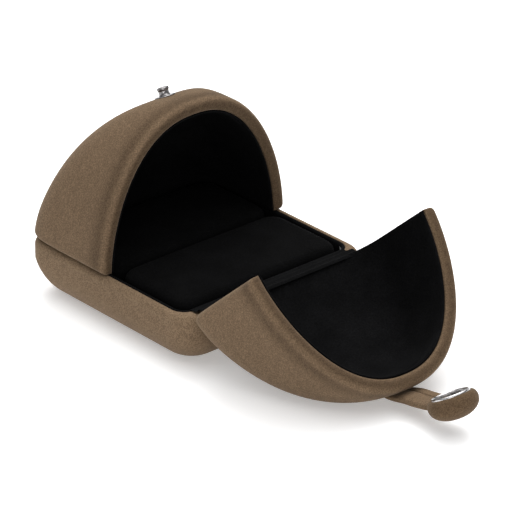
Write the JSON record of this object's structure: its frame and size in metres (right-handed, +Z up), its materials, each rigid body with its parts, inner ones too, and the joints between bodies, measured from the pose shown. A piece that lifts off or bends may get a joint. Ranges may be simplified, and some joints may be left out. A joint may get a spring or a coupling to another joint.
{
  "type": "ring box",
  "caption": "Domed suede ring box: low padded tray, two half-dome doors hinged at its ends, and a strap with a covered snap cap.",
  "frame": {"origin": "middle of the flat underside of the base", "axes": "+Z up, X along the two hinges, +Y towards the shut rear door, -Y towards the opened front door"},
  "size_m": [0.0752, 0.1634, 0.0681],
  "materials": {
    "suede": "tan brushed microsuede",
    "velvet": "black velvet",
    "shell_plastic": "moulded, hidden under the covering",
    "bottom_sheet": "suede-look paper",
    "board": "grey board",
    "hinge_steel": "plain pressed steel",
    "snap_metal": "nickel plate"
  },
  "bodies": {
    "base": {"base_core": "shell_plastic", "base_suede_cover": "suede", "base_bottom_sheet": "bottom_sheet", "base_liner": "velvet", "pad_board": "board", "ring_pad_front": "velvet", "ring_pad_rear": "velvet", "rear_hinge_base_leaf": "hinge_steel", "rear_hinge_base_rivets": "hinge_steel", "rear_hinge_pin": "hinge_steel", "rear_hinge_lining": "velvet", "front_hinge_base_leaf": "hinge_steel", "front_hinge_base_rivets": "hinge_steel", "front_hinge_pin": "hinge_steel", "front_hinge_lining": "velvet"},
    "rear_door": {"rear_door_core": "shell_plastic", "rear_door_suede_cover": "suede", "rear_door_liner": "velvet", "rear_hinge_door_leaf": "hinge_steel", "rear_hinge_door_rivets": "hinge_steel", "snap_stud": "snap_metal", "snap_stud_washer": "snap_metal"},
    "front_door": {"front_door_core": "shell_plastic", "front_door_suede_cover": "suede", "front_door_liner": "velvet", "front_hinge_door_leaf": "hinge_steel", "front_hinge_door_rivets": "hinge_steel", "strap_root": "suede"},
    "strap": {"strap_tongue": "suede", "snap_socket": "snap_metal", "snap_socket_spring": "snap_metal", "cap_button": "shell_plastic", "cap_suede_cover": "suede"}
  },
  "joints": [
    {"name": "rear_door_hinge", "type": "hinge", "parent": "base", "child": "rear_door", "pos_m": [0, 0.03852, 0.01925], "axis": [-1, 0, 0], "range_deg": [0, 138.3], "deforming": ["rear_hinge_lining"]},
    {"name": "front_door_hinge", "type": "hinge", "parent": "base", "child": "front_door", "pos_m": [0, -0.03852, 0.01925], "axis": [-1, 0, 0], "range_deg": [0, 138.3], "deforming": ["front_hinge_lining"]},
    {"name": "strap_flex", "type": "hinge", "parent": "front_door", "child": "strap", "pos_m": [0, -0.09905, 0.00923], "axis": [1, 0, 0], "range_deg": [-38, 10], "stiffness_Nm_per_rad": 0.02}
  ]
}
